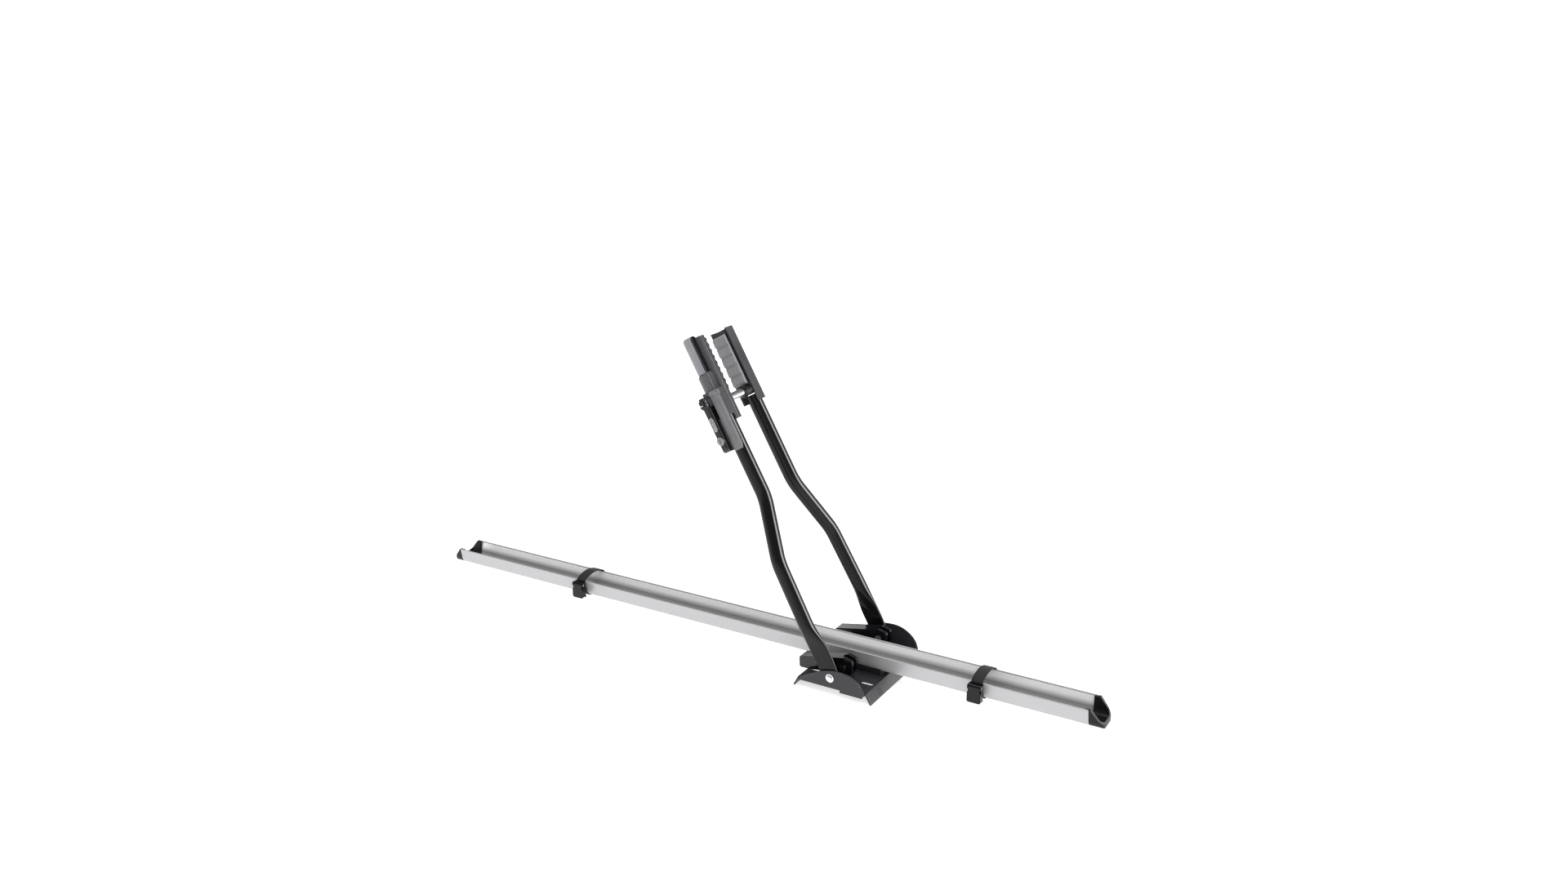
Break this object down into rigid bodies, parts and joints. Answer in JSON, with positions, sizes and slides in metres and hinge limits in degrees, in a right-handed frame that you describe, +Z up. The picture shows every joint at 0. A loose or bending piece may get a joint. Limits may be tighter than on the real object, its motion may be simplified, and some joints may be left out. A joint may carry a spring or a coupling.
{
  "type": "roof bicycle carrier",
  "caption": "Upright roof-mount bicycle carrier: wheel tray with straps, bar-mounted base, and folding twin arms with a clamping frame jaw.",
  "frame": {"origin": "middle of the base plate's underside, where it sits on the roof bar, straight below the arms' pivot axis", "axes": "+X along the wheel tray towards its short end, Y along the roof bar with the clamp handle on the -Y side, +Z up"},
  "size_m": [1.502, 0.234, 0.6297],
  "materials": {
    "base_paint": "satin powder coat",
    "saddle_plastic": "matt moulded",
    "tray_aluminium": "satin anodised extrusion",
    "zinc_steel": "bright zinc",
    "spindle_steel": "polished",
    "lock_steel": "satin",
    "cap_plastic": "matt moulded",
    "webbing": "woven webbing",
    "buckle_plastic": "gloss moulded",
    "arm_paint": "gloss black",
    "head_paint": "satin grey",
    "cover_plastic": "satin moulded",
    "sleeve_plastic": "satin moulded",
    "pad_rubber": "moulded",
    "tooth_rubber": "moulded",
    "housing_plastic": "semi-gloss moulded",
    "label_grey": "satin",
    "lever_metal": "satin grey",
    "cam_plastic": "gloss moulded"
  },
  "bodies": {
    "carrier": {"base_plate": "base_paint", "tray_saddle": "saddle_plastic", "wheel_tray": "tray_aluminium", "tray_bolts": "zinc_steel", "tray_nuts": "zinc_steel", "end_cap_front": "cap_plastic", "end_cap_rear": "cap_plastic", "strap_front": "webbing", "strap_rear": "webbing", "buckle_body_front": "buckle_plastic", "buckle_body_rear": "buckle_plastic", "buckle_pin_front": "zinc_steel", "buckle_pin_rear": "zinc_steel", "pivot_bolt_near": "zinc_steel", "pivot_bolt_far": "zinc_steel", "pivot_nut_near": "zinc_steel", "pivot_nut_far": "zinc_steel", "cam_pin_near": "zinc_steel", "cam_pin_far": "zinc_steel", "cam_saddle_near": "saddle_plastic", "cam_saddle_far": "saddle_plastic", "t_bolt_near": "zinc_steel", "t_bolt_far": "zinc_steel"},
    "arms": {"arm_tube_near": "arm_paint", "arm_tube_far": "arm_paint", "near_head": "head_paint", "near_jaw_cover": "cover_plastic", "near_sleeve": "sleeve_plastic", "near_pad": "tooth_rubber", "clamp_housing": "housing_plastic", "label_plate": "label_grey", "lock_barrel": "lock_steel", "clamp_pin": "zinc_steel", "far_tube_plug": "cap_plastic"},
    "far_jaw_slide": {"far_jaw": "head_paint", "far_jaw_carrier": "housing_plastic", "far_pad": "pad_rubber", "spindle": "spindle_steel", "spindle_collar": "housing_plastic"},
    "clamp_handle": {"clamp_lever": "lever_metal"},
    "adjuster": {"adjuster_knob": "housing_plastic"},
    "lock": {"lock_plug": "zinc_steel"},
    "cam_near": {"cam_lever_near": "cam_plastic"},
    "cam_far": {"cam_lever_far": "cam_plastic"},
    "buckle_front": {"buckle_lever_front": "buckle_plastic"},
    "buckle_rear": {"buckle_lever_rear": "buckle_plastic"}
  },
  "joints": [
    {"name": "arms_fold", "type": "hinge", "parent": "carrier", "child": "arms", "pos_m": [0, 0, 0.0198], "axis": [0, 1, 0], "range_deg": [-54, 45]},
    {"name": "jaw_close", "type": "slide", "parent": "arms", "child": "far_jaw_slide", "axis": [0, 1, 0], "range_m": [-0.02, 0.014]},
    {"name": "clamp_open", "type": "hinge", "parent": "arms", "child": "clamp_handle", "pos_m": [-0.25824, -0.0752, 0.51579], "axis": [-0.8746, 0, -0.4848], "range_deg": [0, 150]},
    {"name": "adjuster_turn", "type": "hinge", "parent": "arms", "child": "adjuster", "pos_m": [-0.27343, -0.0885, 0.49822], "axis": [-0.4848, 0, 0.8746], "continuous": true},
    {"name": "lock_turn", "type": "hinge", "parent": "arms", "child": "lock", "pos_m": [-0.2361, -0.088, 0.43088], "axis": [0, 1, 0], "range_deg": [0, 90]},
    {"name": "cam_near_open", "type": "hinge", "parent": "carrier", "child": "cam_near", "pos_m": [0.014, -0.068, 0.033], "axis": [0, 1, 0], "range_deg": [0, 95]},
    {"name": "cam_far_open", "type": "hinge", "parent": "carrier", "child": "cam_far", "pos_m": [0.014, 0.068, 0.033], "axis": [0, 1, 0], "range_deg": [0, 95]},
    {"name": "buckle_front_open", "type": "hinge", "parent": "carrier", "child": "buckle_front", "pos_m": [0.256, -0.0413, 0.0396], "axis": [-1, 0, 0], "range_deg": [0, 150]},
    {"name": "buckle_rear_open", "type": "hinge", "parent": "carrier", "child": "buckle_rear", "pos_m": [-0.643, -0.0413, 0.0396], "axis": [-1, 0, 0], "range_deg": [0, 150]}
  ]
}
